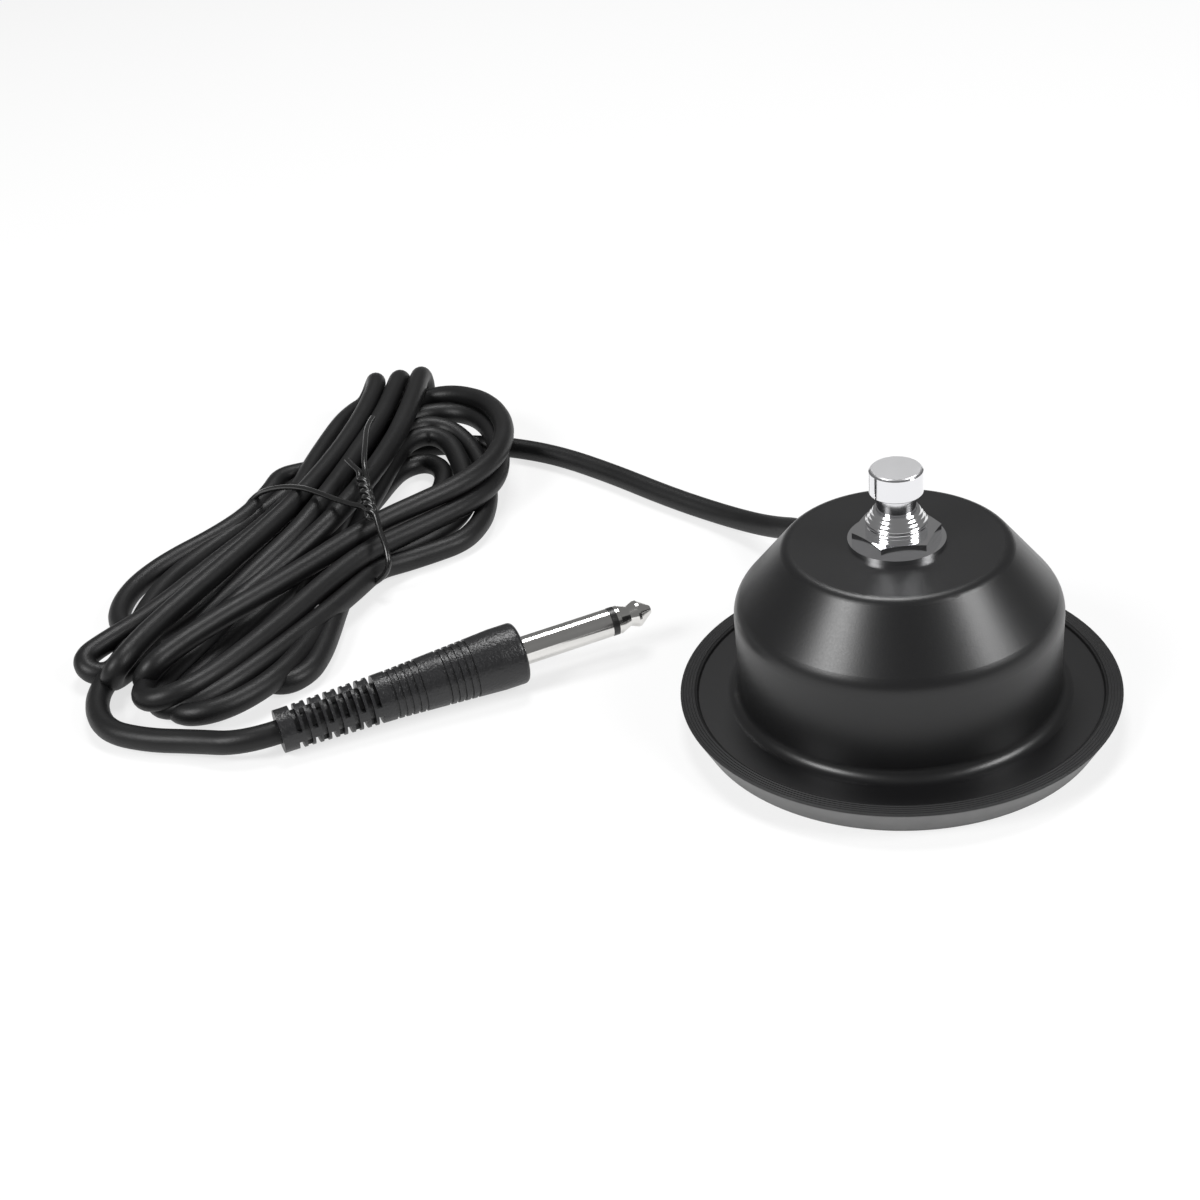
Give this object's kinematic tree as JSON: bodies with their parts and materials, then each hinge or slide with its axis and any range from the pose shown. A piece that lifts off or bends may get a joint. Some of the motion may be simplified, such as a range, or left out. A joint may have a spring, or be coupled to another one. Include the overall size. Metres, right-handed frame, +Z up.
{
  "type": "amplifier foot switch",
  "caption": "Latching foot switch for an instrument amplifier: steel bell on a rubber ring, a chromed push button on top, and a tied hank of cord with a long jack plug.",
  "frame": {"origin": "middle of the rubber ring's underside, on the floor", "axes": "+Z up along the button's axis; the picture looks along +Y, and the cord and plug lie towards -X"},
  "size_m": [0.222, 0.209, 0.0558],
  "materials": {
    "powder_coat": "satin black powder coat",
    "ring_rubber": "matt black",
    "plate_steel": "zinc plated",
    "button_chrome": "satin top, bright sides",
    "bushing_chrome": "bright",
    "switch_plastic": "matt",
    "contact_brass": "bright",
    "board_brown": "paper laminate",
    "wire_red": "satin",
    "wire_black": "satin",
    "cord_rubber": "satin black",
    "tie_plastic": "satin black",
    "plug_nickel": "bright nickel"
  },
  "bodies": {
    "housing": {"housing_bell": "powder_coat", "base_ring": "ring_rubber", "base_plate": "plate_steel", "switch_bushing": "bushing_chrome", "top_washer": "bushing_chrome", "top_nut": "bushing_chrome", "lock_washer": "plate_steel", "under_nut": "bushing_chrome", "switch_case": "plate_steel", "switch_body": "switch_plastic", "return_spring": "plate_steel", "terminal_board": "board_brown", "terminal_lugs": "contact_brass", "wire_signal": "wire_red", "wire_screen": "wire_black", "solder_joints": "plate_steel", "cord_relief": "cord_rubber", "cord_inner_end": "cord_rubber", "cord_lead": "cord_rubber", "cord_hank": "cord_rubber", "cord_tail": "cord_rubber", "twist_tie": "tie_plastic", "plug_grip": "cord_rubber", "plug_sleeve": "plug_nickel", "plug_insulator": "wire_black", "plug_tip": "plug_nickel"},
    "button": {"foot_button": "button_chrome", "switch_driver": "switch_plastic"},
    "rotor": {"contact_rotor": "switch_plastic", "contact_bridge": "contact_brass"}
  },
  "joints": [
    {"name": "button_press", "type": "slide", "parent": "housing", "child": "button", "axis": [0, 0, -1], "range_m": [0, 0.003], "stiffness_N_per_m": 5000, "springref_m": -0.002, "deforming": ["return_spring"]},
    {"name": "rotor_turn", "type": "hinge", "parent": "housing", "child": "rotor", "pos_m": [0, 0, 0.0187], "axis": [0, 0, 1], "range_deg": [-10, 100]}
  ],
  "couplings": [
    {"joint": "rotor_turn", "follows": "button_press", "rad_per_m": 523.6}
  ]
}
